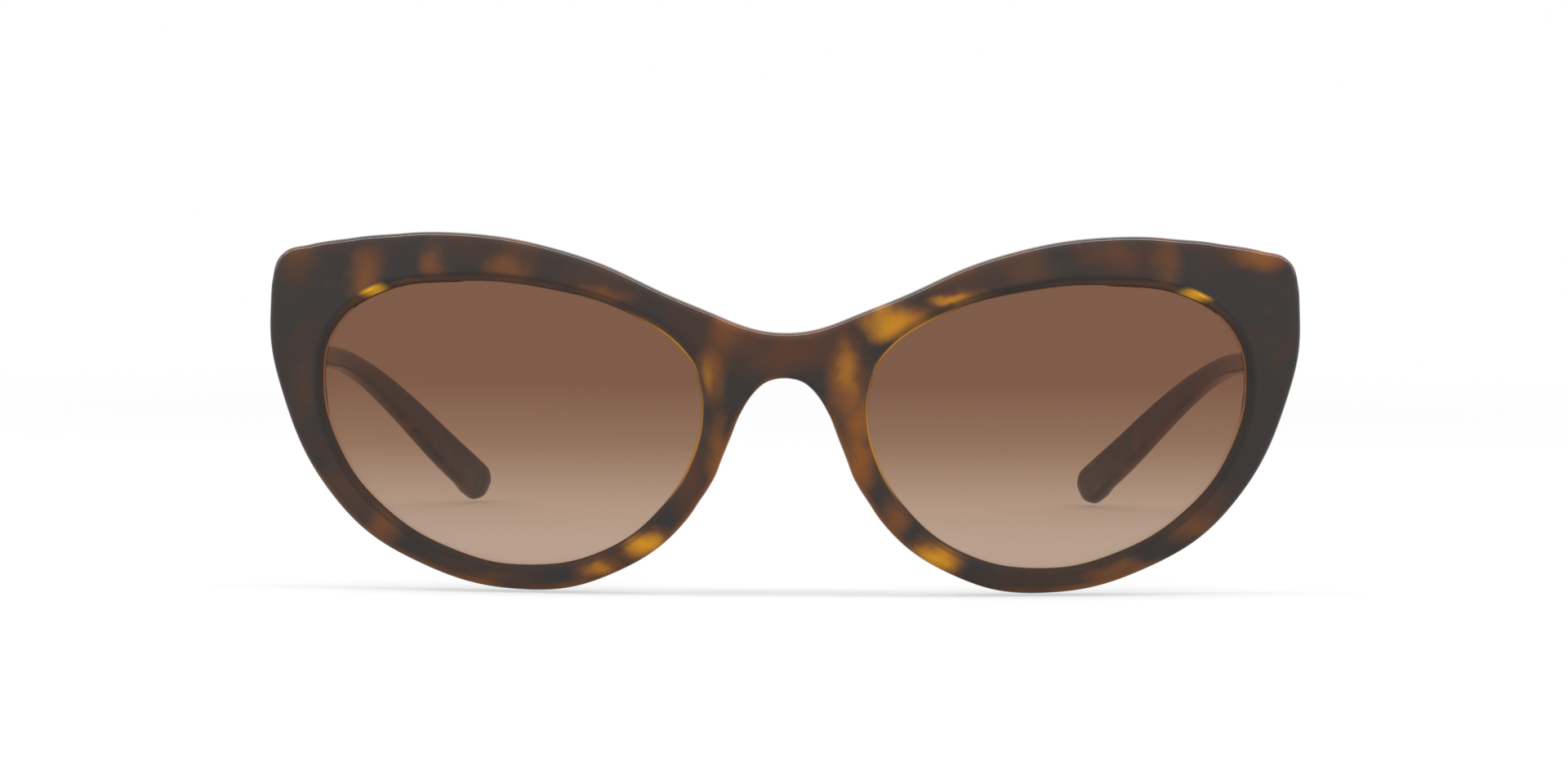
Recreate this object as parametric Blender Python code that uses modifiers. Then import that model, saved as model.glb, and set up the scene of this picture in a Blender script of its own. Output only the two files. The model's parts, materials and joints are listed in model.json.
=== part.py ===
# Cat eye sunglasses: a moulded front with two bevelled lenses, built-up nose
# pads and two temples on five-barrel hinges. Metres, +Z up, the front faces -Y,
# the wearer's left is +X. Rims and temple tips both stand on z = 0.
import math

import bmesh
import bpy
from mathutils import Matrix, Vector

# Lens and bridge
LENS_WIDTH = 0.0525
LENS_HEIGHT = 0.0393
BRIDGE_WIDTH = 0.0205
LENS_BASE_RADIUS = 0.132
FACE_FORM_ANGLE = math.radians(7.0)

# Rim widths, from the lens opening to the outline
LOWER_RIM = 0.0035
BROW_RIM = 0.0065
TEMPORAL_RIM = 0.0075
NASAL_RIM = 0.0045
CORNER_LIFT = 0.0088
CORNER_INSET = 0.0016
CHEEK_INSET = 0.0013
CHEEK_DROP = 0.0100
JAW_INSET = 0.0096
NOSE_FOOT_FLARE = 0.0062
NOSE_SIDE_FLARE = 0.0020
NOSE_TOP_TUCK = 0.0012
BRIDGE_HEIGHT = 0.0060
BRIDGE_ARCH_Z = 0.0287

# Section of the front
FRONT_THICKNESS = 0.0040
EDGE_ROUND = 0.0008
OPENING_BEVEL_WIDTH = 0.0008
OPENING_BEVEL_DEPTH = 0.0007
BACK_EASE = 0.0004
GROOVE_DEPTH = 0.0009
GROOVE_START = 0.0012
GROOVE_WIDTH = 0.0020
GROOVE_FLANK = 0.00055
LENS_GAP = 0.00015

# End lug and temple joint
HINGE_Z = 0.0313
LUG_HALF_HEIGHT = 0.0058
LUG_BLEND = 0.0035
LUG_RISE = 0.0008
JOINT_GAP = 0.0003

# Hinge
BARREL_COUNT = 5
BARREL_RADIUS = 0.0013
BARREL_HEIGHT = 0.0011
BARREL_GAP = 0.0001
BARREL_STANDOFF = 0.0003
WEB_INSET = 0.00004
SCREW_RADIUS = 0.00065
SCREW_CLEARANCE = 0.00007
SCREW_HEAD_RADIUS = 0.00115
SCREW_HEAD_HEIGHT = 0.0006
SCREW_SLOT_WIDTH = 0.0004
SCREW_SLOT_DEPTH = 0.0003
SCREW_POINT = 0.0002
LEAF_THICKNESS = 0.0008
LEAF_CLEARANCE = 0.00015
LEAF_TAIL = 0.0006
LEAF_EASE = 0.0001
FRONT_LEAF_WIDTH = 0.0044
FRONT_LEAF_HEIGHT = 0.0062
TEMPLE_LEAF_LENGTH = 0.0075
TEMPLE_LEAF_HEIGHT = 0.0042
TEMPLE_LEAF_SETBACK = 0.0008
TEMPLE_LEAF_DROP = 0.0004
STUD_RADIUS = 0.0006
STUD_LENGTH = 0.0013
STUD_SPACING = 0.0034
STUD_OVERLAP = 0.0001

# Temple
TEMPLE_LENGTH = 0.1290
TEMPLE_INSET = 0.0008
TEMPLE_THICKNESS = 0.0031
TEMPLE_TIP_THICKNESS = 0.0025
TEMPLE_HINGE_HEIGHT = 0.0070
TEMPLE_WAIST_HEIGHT = 0.0032
TEMPLE_TIP_HEIGHT = 0.0062
TEMPLE_CORNER_RADIUS = 0.0009
TEMPLE_SLOPE = math.radians(4.5)
TEMPLE_BEND = math.radians(22.55)
BEND_START = 0.0505
BEND_LENGTH = 0.0545
INWARD_START = 0.0325
INWARD_SWEEP = 0.0187
TIP_ROUND = 0.0034
WAIST_START = 0.004
WAIST_END = 0.032
FLARE_START = 0.063
FLARE_END = 0.120
BUTT_EASE = 0.0005
CORE_RADIUS = 0.0005
CORE_CLEARANCE = 0.00015
CORE_OFFSET = 0.0002
CORE_START = 0.0030
CORE_LENGTH = 0.0970
CORE_END_GAP = 0.0005

# Nose pads
PAD_LENGTH = 0.0150
PAD_WIDTH = 0.0036
PAD_HEIGHT = 0.0052
PAD_FLARE = 0.0006
PAD_TOP_Z = 0.0266
PAD_OVERHANG = 0.0009
PAD_GAP = 0.0003

# Modelling
STEPS = 5
BACK_ROWS = 3
LENS_ROWS = 3
CUT_OVERRUN = 0.002
SEAM = 1e-6

# Derived positions
LENS_X = BRIDGE_WIDTH / 2 + LENS_WIDTH / 2
OPENING_HALF_WIDTH = LENS_WIDTH / 2 - GROOVE_DEPTH + LENS_GAP
OPENING_HALF_HEIGHT = LENS_HEIGHT / 2 - GROOVE_DEPTH + LENS_GAP
LENS_Z = LOWER_RIM + OPENING_HALF_HEIGHT
HALF_FRONT = LENS_X + OPENING_HALF_WIDTH + TEMPORAL_RIM
TOP_Z = LENS_Z + OPENING_HALF_HEIGHT + BROW_RIM
BRIDGE_TOP_Z = BRIDGE_ARCH_Z + BRIDGE_HEIGHT
GROOVE_END = GROOVE_START + GROOVE_WIDTH


def clear_scene():
    for obj in list(bpy.data.objects):
        bpy.data.objects.remove(obj, do_unlink=True)


def new_collection(name):
    group = bpy.data.collections.new(name)
    bpy.context.scene.collection.children.link(group)
    return group


def new_material(name, colour, metallic, roughness, alpha=1.0):
    mat = bpy.data.materials.new(name)
    mat.use_nodes = True
    shader = mat.node_tree.nodes["Principled BSDF"]
    shader.inputs["Base Color"].default_value = (*colour, 1.0)
    shader.inputs["Metallic"].default_value = metallic
    shader.inputs["Roughness"].default_value = roughness
    shader.inputs["Alpha"].default_value = alpha
    return mat


def add_object(name, mesh, group, mat=None, smooth=True):
    obj = bpy.data.objects.new(name, mesh)
    group.objects.link(obj)
    if mat is not None:
        mesh.materials.append(mat)
    for face in mesh.polygons:
        face.use_smooth = smooth
    return obj


def apply_modifiers(obj):
    graph = bpy.context.evaluated_depsgraph_get()
    mesh = bpy.data.meshes.new_from_object(obj.evaluated_get(graph))
    mats = list(obj.data.materials)
    obj.modifiers.clear()
    obj.data = mesh
    if len(mesh.materials) == 0:
        for mat in mats:
            mesh.materials.append(mat)


def boolean(obj, other, operation):
    mod = obj.modifiers.new(operation.lower(), "BOOLEAN")
    mod.operation = operation
    mod.solver = "EXACT"
    mod.object = other
    apply_modifiers(obj)


def tidy_mesh(mesh):
    work = bmesh.new()
    work.from_mesh(mesh)
    bmesh.ops.remove_doubles(work, verts=work.verts, dist=2e-6)
    bmesh.ops.dissolve_degenerate(work, edges=work.edges, dist=1e-6)
    bmesh.ops.recalc_face_normals(work, faces=work.faces)
    work.to_mesh(mesh)
    work.free()


def loft(name, rings, wrap=False):
    # Skin over rings of equal length; a ring of one point closes as a fan.
    work = bmesh.new()
    rows = [[work.verts.new(p) for p in ring] for ring in rings]
    pairs = list(zip(rows, rows[1:]))
    if wrap:
        pairs.append((rows[-1], rows[0]))
    for lower, upper in pairs:
        count = max(len(lower), len(upper))
        for i in range(count):
            j = (i + 1) % count
            if len(lower) == 1:
                work.faces.new((lower[0], upper[j], upper[i]))
            elif len(upper) == 1:
                work.faces.new((lower[i], lower[j], upper[0]))
            else:
                work.faces.new((lower[i], lower[j], upper[j], upper[i]))
    if not wrap:
        for row in (rows[0], rows[-1]):
            if len(row) > 2:
                work.faces.new(row)
    bmesh.ops.recalc_face_normals(work, faces=work.faces)
    mesh = bpy.data.meshes.new(name)
    work.to_mesh(mesh)
    work.free()
    return mesh


def box(name, low, high, group, bevel=0.0):
    work = bmesh.new()
    size = [b - a for a, b in zip(low, high)]
    middle = [(a + b) / 2 for a, b in zip(low, high)]
    place = Matrix.Translation(middle) @ Matrix.Diagonal((*size, 1.0))
    bmesh.ops.create_cube(work, size=1.0, matrix=place)
    if bevel > 0.0:
        bmesh.ops.bevel(work, geom=work.edges[:], offset=bevel, segments=2, profile=0.5, affect="EDGES")
    mesh = bpy.data.meshes.new(name)
    work.to_mesh(mesh)
    work.free()
    return add_object(name, mesh, group, smooth=False)


def rod(name, centre, axis, radius, length, group, sides=24):
    work = bmesh.new()
    turn = Vector((0, 0, 1)).rotation_difference(Vector(axis)).to_matrix().to_4x4()
    bmesh.ops.create_cone(
        work,
        cap_ends=True,
        segments=sides,
        radius1=radius,
        radius2=radius,
        depth=length,
        matrix=Matrix.Translation(centre) @ turn,
    )
    mesh = bpy.data.meshes.new(name)
    work.to_mesh(mesh)
    work.free()
    return add_object(name, mesh, group, smooth=False)


def smooth_loop(points, steps):
    # Closed curve through the points, as a list of 2D vectors.
    curve = bpy.data.curves.new("outline", "CURVE")
    curve.dimensions = "3D"
    curve.resolution_u = steps
    spline = curve.splines.new("BEZIER")
    spline.bezier_points.add(len(points) - 1)
    spline.use_cyclic_u = True
    for knot, (x, z) in zip(spline.bezier_points, points):
        knot.co = (x, 0.0, z)
        knot.handle_left_type = "AUTO"
        knot.handle_right_type = "AUTO"
    obj = bpy.data.objects.new("outline", curve)
    bpy.context.scene.collection.objects.link(obj)
    graph = bpy.context.evaluated_depsgraph_get()
    mesh = bpy.data.meshes.new_from_object(obj.evaluated_get(graph))
    path = [Vector((v.co.x, v.co.z)) for v in mesh.vertices]
    bpy.data.objects.remove(obj, do_unlink=True)
    bpy.data.curves.remove(curve)
    bpy.data.meshes.remove(mesh)
    return path


def left_normals(path):
    # Unit normals on the left of the direction of travel of a closed path.
    normals = []
    for i in range(len(path)):
        along = path[(i + 1) % len(path)] - path[i - 1]
        normals.append(Vector((-along.y, along.x)).normalized())
    return normals


def smoothstep(low, high, value):
    t = min(max((value - low) / (high - low), 0.0), 1.0)
    return t * t * (3.0 - 2.0 * t)


def sheet_y(x, z):
    # Depth of the front face: base curve over each lens, flat over the bridge.
    nasal = BRIDGE_WIDTH / 2
    slope = math.tan(FACE_FORM_ANGLE)
    out = max(abs(x), nasal) - LENS_X
    depth = out * slope + out * out / (2 * LENS_BASE_RADIUS)
    if abs(x) < nasal:
        steep = (slope + out / LENS_BASE_RADIUS) / (2 * nasal)
        depth += steep * (x * x - nasal * nasal)
    return depth + (z - LENS_Z) ** 2 / (2 * LENS_BASE_RADIUS)


TEMPLE_OUTER_X = HALF_FRONT - TEMPLE_INSET
JOINT_Y = sheet_y(TEMPLE_OUTER_X, HINGE_Z) + FRONT_THICKNESS + LUG_RISE


def lug_rise(x, z):
    # Extra depth that brings the back of the end piece to the joint plane.
    if x < LENS_X:
        return 0.0
    reach = abs(z - HINGE_Z)
    blend = 1.0 - smoothstep(LUG_HALF_HEIGHT, LUG_HALF_HEIGHT + LUG_BLEND, reach)
    return blend * max(JOINT_Y - sheet_y(x, z) - FRONT_THICKNESS, 0.0)


def opening_point(u, w):
    return (LENS_X + u * OPENING_HALF_WIDTH, LENS_Z + w * OPENING_HALF_HEIGHT)


def spokes():
    # Matching points on the lens opening and on the outline, from the bridge
    # over the brow, round the raised corner and back under the lens.
    inner_shape = (
        (-0.94, 0.46),
        (-0.65, 0.765),
        (-0.19, 0.955),
        (0.30, 1.00),
        (0.70, 0.91),
        (0.935, 0.66),
        (1.00, 0.32),
        (0.92, -0.16),
        (0.68, -0.595),
        (0.29, -0.905),
        (-0.08, -1.00),
        (-0.49, -0.89),
        (-0.80, -0.565),
        (-0.96, -0.19),
        (-1.00, 0.12),
        (-0.985, 0.29),
    )
    inner = [opening_point(u, w) for u, w in inner_shape]
    tip_x = HALF_FRONT
    tip_z = LENS_Z + 0.32 * OPENING_HALF_HEIGHT + CORNER_LIFT
    brow_x = LENS_X + 0.33 * OPENING_HALF_WIDTH
    foot_x = LENS_X - 0.09 * OPENING_HALF_WIDTH
    nose_x = LENS_X - OPENING_HALF_WIDTH - NASAL_RIM
    rise = TOP_Z - BRIDGE_TOP_Z
    drop = BRIDGE_ARCH_Z
    outer = [
        (0.0, BRIDGE_TOP_Z),
        (0.28 * brow_x, BRIDGE_TOP_Z + 0.29 * rise),
        (0.62 * brow_x, BRIDGE_TOP_Z + 0.785 * rise),
        (brow_x, TOP_Z),
        (brow_x + 0.55 * (tip_x - brow_x), TOP_Z - 0.13 * (TOP_Z - tip_z)),
        (tip_x - CORNER_INSET, tip_z + 0.63 * (TOP_Z - tip_z)),
        (tip_x, tip_z),
        (tip_x - CHEEK_INSET, tip_z - CHEEK_DROP),
        (tip_x - JAW_INSET, 0.298 * tip_z),
        (foot_x + 0.42 * (tip_x - foot_x), 0.092 * tip_z),
        (foot_x, 0.0),
        (foot_x - 0.39 * (foot_x - nose_x), 0.072 * drop),
        (nose_x + NOSE_FOOT_FLARE, 0.345 * drop),
        (nose_x + NOSE_SIDE_FLARE, 0.68 * drop),
        (nose_x - NOSE_TOP_TUCK, 0.905 * drop),
        (0.0, BRIDGE_ARCH_Z),
    ]
    return inner, outer


def opening_path():
    inner, _ = spokes()
    return smooth_loop(inner, STEPS)


def outline_path():
    # Outline of the half front, then the straight cut at the middle plane.
    _, outer = spokes()
    far_side = [(-x, z) for x, z in reversed(outer[1:-1])]
    path = smooth_loop(outer + far_side, STEPS)
    half = path[: (len(outer) - 1) * STEPS + 1]
    half[0].x = 0.0
    half[-1].x = 0.0
    inward = [-n for n in left_normals(path)[: len(half)]]
    start = half[-1] + inward[-1] * EDGE_ROUND
    end = half[0] + inward[0] * EDGE_ROUND
    cut = [start.lerp(end, k / (STEPS - 2)) for k in range(STEPS - 1)]
    for point in cut:
        point.x = 0.0
    return half, inward, cut


def build_front(group, mat):
    opening = opening_path()
    into_rim = left_normals(opening)
    half, inward, cut = outline_path()
    outline = half + cut
    stations = len(opening)
    rows = []
    for i in range(stations):
        a = opening[i]
        n = into_rim[i]
        o = outline[i]
        section = [
            (a + n * OPENING_BEVEL_WIDTH, 0.0, 0),
            (a, OPENING_BEVEL_DEPTH, 0),
            (a, GROOVE_START, 0),
            (a + n * GROOVE_DEPTH, GROOVE_START + GROOVE_FLANK, 0),
            (a + n * GROOVE_DEPTH, GROOVE_END - GROOVE_FLANK, 0),
            (a, GROOVE_END, 0),
            (a, FRONT_THICKNESS - BACK_EASE, 1),
            (a + n * BACK_EASE, FRONT_THICKNESS, 1),
        ]
        if i < len(half):
            d = inward[i]
            bow = EDGE_ROUND * (1.0 - math.sqrt(0.5))
            rim = [
                (o + d * EDGE_ROUND, FRONT_THICKNESS, 1),
                (o + d * bow, FRONT_THICKNESS - bow, 1),
                (o, FRONT_THICKNESS - EDGE_ROUND, 1),
                (o, EDGE_ROUND, 0),
                (o + d * bow, bow, 0),
                (o + d * EDGE_ROUND, 0.0, 0),
            ]
        else:
            rim = [(o, FRONT_THICKNESS * (1.0 - k / 5), 0) for k in range(6)]
        back_in = section[-1][0]
        back_out = rim[0][0]
        front_in = section[0][0]
        front_out = rim[-1][0]
        for k in range(1, BACK_ROWS + 1):
            section.append((back_in.lerp(back_out, k / (BACK_ROWS + 1)), FRONT_THICKNESS, 1))
        section += rim
        for k in range(1, BACK_ROWS + 1):
            section.append((front_out.lerp(front_in, k / (BACK_ROWS + 1)), 0.0, 0))
        ring = []
        for point, depth, lift in section:
            y = sheet_y(point.x, point.y) + depth
            if lift:
                y += lug_rise(point.x, point.y)
            ring.append(Vector((point.x, y, point.y)))
        rows.append(ring)
    mesh = loft("front_frame", rows, wrap=True)
    work = bmesh.new()
    work.from_mesh(mesh)
    seam = [f for f in work.faces if all(abs(v.co.x) < SEAM for v in f.verts)]
    bmesh.ops.delete(work, geom=seam, context="FACES")
    loose = [v for v in work.verts if not v.link_faces]
    bmesh.ops.delete(work, geom=loose, context="VERTS")
    work.to_mesh(mesh)
    work.free()
    front = add_object("front_frame", mesh, group, mat)
    mirror = front.modifiers.new("other_half", "MIRROR")
    mirror.use_axis = (True, False, False)
    mirror.merge_threshold = 1e-5
    apply_modifiers(front)
    tidy_mesh(front.data)
    return front


def build_lens(side):
    # Curved blank with a bevelled edge that sits in the groove of the rim.
    opening = opening_path()
    out = left_normals(opening)
    middle = Vector((LENS_X, LENS_Z))
    front = GROOVE_START + LENS_GAP
    back = GROOVE_END - LENS_GAP
    reach = GROOVE_DEPTH - LENS_GAP
    inside = [a - n * LENS_GAP for a, n in zip(opening, out)]
    edge = [a + n * reach for a, n in zip(opening, out)]
    face = [[middle.lerp(p, k / LENS_ROWS) for p in inside] for k in range(1, LENS_ROWS + 1)]
    layers = [([middle], front)]
    layers += [(path, front) for path in face]
    layers += [(edge, front + GROOVE_FLANK), (edge, back - GROOVE_FLANK)]
    layers += [(path, back) for path in reversed(face)]
    layers += [([middle], back)]
    rings = []
    for path, depth in layers:
        rings.append([Vector((side * p.x, sheet_y(p.x, p.y) + depth, p.y)) for p in path])
    return loft("lens", rings)


def temple_frame(s):
    # Point of the temple's middle line, its tangent and its inward normal.
    bent = min(max(s - BEND_START, 0.0), BEND_LENGTH)
    tail = max(s - BEND_START - BEND_LENGTH, 0.0)
    rate = TEMPLE_BEND / BEND_LENGTH
    y = min(s, BEND_START) * math.cos(TEMPLE_SLOPE)
    z = -min(s, BEND_START) * math.sin(TEMPLE_SLOPE)
    now = TEMPLE_SLOPE + rate * bent
    y += (math.sin(now) - math.sin(TEMPLE_SLOPE)) / rate
    z -= (math.cos(TEMPLE_SLOPE) - math.cos(now)) / rate
    y += tail * math.cos(now)
    z -= tail * math.sin(now)
    swept = max(s - INWARD_START, 0.0) / (TEMPLE_LENGTH - INWARD_START)
    x = -INWARD_SWEEP * swept * swept
    lean = 2.0 * INWARD_SWEEP * swept / (TEMPLE_LENGTH - INWARD_START)
    tangent = Vector((-lean, math.cos(now), -math.sin(now))).normalized()
    across = Vector((math.cos(lean), math.sin(lean), 0.0))
    across = (across - tangent * across.dot(tangent)).normalized()
    up = across.cross(tangent).normalized()
    if up.z < 0:
        up = -up
    start = Vector((TEMPLE_OUTER_X - TEMPLE_THICKNESS / 2, JOINT_Y + JOINT_GAP, HINGE_Z))
    return start + Vector((x, y, z)), tangent, across, up


def temple_size(s):
    # Thickness and height along the temple: slim waist, paddle tip.
    waist = smoothstep(WAIST_START, WAIST_END, s)
    flare = smoothstep(FLARE_START, FLARE_END, s)
    height = TEMPLE_HINGE_HEIGHT + (TEMPLE_WAIST_HEIGHT - TEMPLE_HINGE_HEIGHT) * waist
    height += (TEMPLE_TIP_HEIGHT - TEMPLE_WAIST_HEIGHT) * flare
    thin = smoothstep(INWARD_START, TEMPLE_LENGTH, s)
    thickness = TEMPLE_THICKNESS + (TEMPLE_TIP_THICKNESS - TEMPLE_THICKNESS) * thin
    return thickness, height


def rounded_section(thickness, height, radius, arc=3):
    radius = min(radius, thickness / 2 * 0.96, height / 2 * 0.96)
    points = []
    for quarter in range(4):
        turn = quarter * math.pi / 2
        cx = (thickness / 2 - radius) * (1 if quarter in (0, 3) else -1)
        cz = (height / 2 - radius) * (1 if quarter in (0, 1) else -1)
        for k in range(arc + 1):
            angle = turn + k / arc * math.pi / 2
            points.append((cx + radius * math.cos(angle), cz + radius * math.sin(angle)))
    return points


def build_temple(side):
    root = TEMPLE_LENGTH - TIP_ROUND
    stations = [0.0, BUTT_EASE]
    stations += [BUTT_EASE + (INWARD_START - BUTT_EASE) * k / 8 for k in range(1, 9)]
    stations += [INWARD_START + (root - INWARD_START) * k / 22 for k in range(1, 23)]
    rings = []
    for s in stations:
        centre, _, across, up = temple_frame(s)
        if s <= BUTT_EASE:
            across = Vector((1.0, 0.0, 0.0))
            up = Vector((0.0, 0.0, 1.0))
        thickness, height = temple_size(s)
        section = rounded_section(thickness, height, TEMPLE_CORNER_RADIUS)
        ring = [centre + across * a + up * b for a, b in section]
        if s == 0.0:
            for p in ring:
                p.y = JOINT_Y + JOINT_GAP
        rings.append(ring)
    for k in range(1, 6):
        angle = k / 6 * math.pi / 2
        s = root + TIP_ROUND * math.sin(angle)
        shrink = math.cos(angle)
        centre, _, across, up = temple_frame(s)
        thickness, height = temple_size(root)
        thickness *= 0.35 + 0.65 * shrink
        height *= 0.25 + 0.75 * shrink
        section = rounded_section(thickness, height, TEMPLE_CORNER_RADIUS)
        rings.append([centre + across * a + up * b for a, b in section])
    if side < 0:
        rings = [[Vector((-p.x, p.y, p.z)) for p in ring] for ring in rings]
    return loft("temple", rings)


def core_tube(name, side, radius, start, length, sides=10, count=40):
    rings = []
    for k in range(count + 1):
        centre, _, across, up = temple_frame(start + length * k / count)
        centre += across * CORE_OFFSET
        ring = []
        for i in range(sides):
            angle = 2 * math.pi * i / sides
            p = centre + across * (radius * math.cos(angle)) + up * (radius * math.sin(angle))
            ring.append(Vector((side * p.x, p.y, p.z)))
        rings.append(ring)
    return loft(name, rings)


def barrel_levels():
    pitch = BARREL_HEIGHT + BARREL_GAP
    first = HINGE_Z - pitch * (BARREL_COUNT - 1) / 2
    return [first + pitch * k for k in range(BARREL_COUNT)]


TEMPLE_INNER_X = TEMPLE_OUTER_X - TEMPLE_THICKNESS
AXIS_X = TEMPLE_INNER_X - BARREL_RADIUS - BARREL_STANDOFF
AXIS_Y = JOINT_Y + BARREL_RADIUS + BARREL_STANDOFF
TEMPLE_LEAF_Y = AXIS_Y - BARREL_RADIUS + TEMPLE_LEAF_SETBACK


def mirrored(low, high, side):
    xs = sorted((side * low[0], side * high[0]))
    return (xs[0], low[1], low[2]), (xs[1], high[1], high[2])


def front_plate(side, grow):
    start = AXIS_X - LEAF_TAIL
    half = FRONT_LEAF_HEIGHT / 2 + grow
    low = (start - grow, JOINT_Y - LEAF_THICKNESS - grow, HINGE_Z - half)
    high = (start + FRONT_LEAF_WIDTH + grow, JOINT_Y, HINGE_Z + half)
    return mirrored(low, high, side)


def stud_centres(side):
    x = side * (AXIS_X + FRONT_LEAF_WIDTH / 2)
    return [(x, HINGE_Z + k * STUD_SPACING / 2) for k in (-1, 1)]


def temple_plate(side, grow):
    start = TEMPLE_LEAF_Y
    middle = HINGE_Z - TEMPLE_LEAF_DROP
    half = TEMPLE_LEAF_HEIGHT / 2 + grow
    low = (TEMPLE_INNER_X, start - grow, middle - half)
    high = (TEMPLE_INNER_X + LEAF_THICKNESS + grow, start + TEMPLE_LEAF_LENGTH + grow, middle + half)
    return mirrored(low, high, side)


def build_leaf(name, side, is_front, group, cutters, mat):
    if is_front:
        low, high = front_plate(side, 0.0)
    else:
        low, high = temple_plate(side, 0.0)
    leaf = box(name, low, high, group, bevel=LEAF_EASE)
    leaf.data.materials.append(mat)
    if is_front:
        for x, z in stud_centres(side):
            centre = (x, JOINT_Y - LEAF_THICKNESS - STUD_LENGTH / 2 + STUD_OVERLAP, z)
            stud = rod("stud", centre, (0, 1, 0), STUD_RADIUS, STUD_LENGTH, cutters, 16)
            boolean(leaf, stud, "UNION")
    for k, z in enumerate(barrel_levels()):
        if (k % 2 == 0) != is_front:
            continue
        half = BARREL_HEIGHT / 2 - WEB_INSET
        centre = (side * AXIS_X, AXIS_Y, z)
        barrel = rod("barrel", centre, (0, 0, 1), BARREL_RADIUS, BARREL_HEIGHT, cutters)
        if is_front:
            web_low = (AXIS_X - LEAF_TAIL + WEB_INSET * 3, JOINT_Y - LEAF_THICKNESS / 2, z - half)
            web_high = (AXIS_X + BARREL_RADIUS * 0.9, AXIS_Y, z + half)
        else:
            web_low = (AXIS_X + WEB_INSET, TEMPLE_LEAF_Y + WEB_INSET * 3, z - half)
            web_high = (TEMPLE_INNER_X + LEAF_THICKNESS / 2, AXIS_Y + BARREL_RADIUS * 0.8, z + half)
        web = box("web", *mirrored(web_low, web_high, side), cutters)
        boolean(barrel, web, "UNION")
        boolean(leaf, barrel, "UNION")
    tall = (BARREL_HEIGHT + BARREL_GAP) * BARREL_COUNT + CUT_OVERRUN
    axis_middle = (side * AXIS_X, AXIS_Y, HINGE_Z)
    bore = rod("bore", axis_middle, (0, 0, 1), SCREW_RADIUS + SCREW_CLEARANCE, tall, cutters)
    boolean(leaf, bore, "DIFFERENCE")
    tidy_mesh(leaf.data)
    return leaf


def build_screw(name, side, group, cutters, mat):
    stack = BARREL_HEIGHT * BARREL_COUNT + BARREL_GAP * (BARREL_COUNT - 1)
    top = HINGE_Z + stack / 2 + BARREL_GAP
    foot = HINGE_Z - stack / 2
    profile = [
        (0.0, foot),
        (SCREW_RADIUS * 0.8, foot),
        (SCREW_RADIUS, foot + SCREW_POINT),
        (SCREW_RADIUS, top),
        (SCREW_HEAD_RADIUS, top),
        (SCREW_HEAD_RADIUS, top + SCREW_HEAD_HEIGHT * 0.6),
        (SCREW_HEAD_RADIUS * 0.8, top + SCREW_HEAD_HEIGHT),
        (0.0, top + SCREW_HEAD_HEIGHT),
    ]
    sides = 24
    rings = []
    for radius, z in profile:
        centre = Vector((side * AXIS_X, AXIS_Y, z))
        if radius == 0.0:
            rings.append([centre])
            continue
        turns = [2 * math.pi * i / sides for i in range(sides)]
        rings.append([centre + Vector((radius * math.cos(t), radius * math.sin(t), 0.0)) for t in turns])
    screw = add_object(name, loft(name, rings), group, mat, smooth=False)
    head_top = top + SCREW_HEAD_HEIGHT
    slot = box(
        "slot",
        (side * AXIS_X - SCREW_SLOT_WIDTH / 2, AXIS_Y - CUT_OVERRUN, head_top - SCREW_SLOT_DEPTH),
        (side * AXIS_X + SCREW_SLOT_WIDTH / 2, AXIS_Y + CUT_OVERRUN, head_top + CUT_OVERRUN),
        cutters,
    )
    boolean(screw, slot, "DIFFERENCE")
    tidy_mesh(screw.data)
    return screw


def nose_edge(half, z):
    # Half width of the nose opening at a height, read from the outline.
    tail = [p for p in half[len(half) // 2:] if p.x < LENS_X]
    for p, q in zip(tail, tail[1:]):
        if p.y <= z <= q.y:
            return p.x + (q.x - p.x) * (z - p.y) / max(q.y - p.y, 1e-9)
    return tail[-1].x


def build_pad(side):
    # Flared pad on the back of the nose rim, thickest a little below the middle.
    rings = []
    count = 12
    across = 8
    foot_z = PAD_TOP_Z - PAD_LENGTH
    half, _, _ = outline_path()
    for k in range(count + 1):
        t = k / count
        z = PAD_TOP_Z - PAD_LENGTH * (0.5 - 0.5 * math.cos(math.pi * t))
        span = math.sin(math.pi * (0.04 + 0.92 * t)) ** 0.5
        edge = nose_edge(half, min(max(z, foot_z), PAD_TOP_Z))
        edge -= PAD_OVERHANG * math.sin(math.pi * t) ** 0.7
        width = PAD_WIDTH * span
        height = PAD_HEIGHT * span * (0.75 + 0.25 * t)
        ring = []
        for j in range(across + 1):
            a = math.pi * j / across
            x = edge + width / 2 - width / 2 * math.cos(a)
            h = height * math.sin(a) ** 0.7
            lean = PAD_FLARE * (h / PAD_HEIGHT) ** 1.5
            y = sheet_y(x, z) + FRONT_THICKNESS + PAD_GAP + h
            ring.append(Vector((side * (x + lean), y, z)))
        for j in range(across - 1, 0, -1):
            x = edge + width * j / across
            ring.append(Vector((side * x, sheet_y(x, z) + FRONT_THICKNESS + PAD_GAP, z)))
        rings.append(ring)
    return loft("pad", rings)


clear_scene()
parts = new_collection("cat_eye_sunglasses")
cutters = new_collection("cutters")

acetate = new_material("front_acetate", (0.055, 0.028, 0.016), 0.0, 0.12)
pad_acetate = new_material("pad_acetate", (0.10, 0.045, 0.018), 0.0, 0.15)
temple_acetate = new_material("temple_acetate", (0.05, 0.025, 0.015), 0.0, 0.12)
tint = new_material("brown_lens", (0.30, 0.17, 0.11), 0.0, 0.02, 0.55)
hinge_steel = new_material("hinge_steel", (0.62, 0.60, 0.57), 1.0, 0.28)
screw_steel = new_material("screw_steel", (0.70, 0.69, 0.67), 1.0, 0.22)
core_steel = new_material("core_steel", (0.58, 0.55, 0.50), 1.0, 0.35)

front = build_front(parts, acetate)

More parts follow.
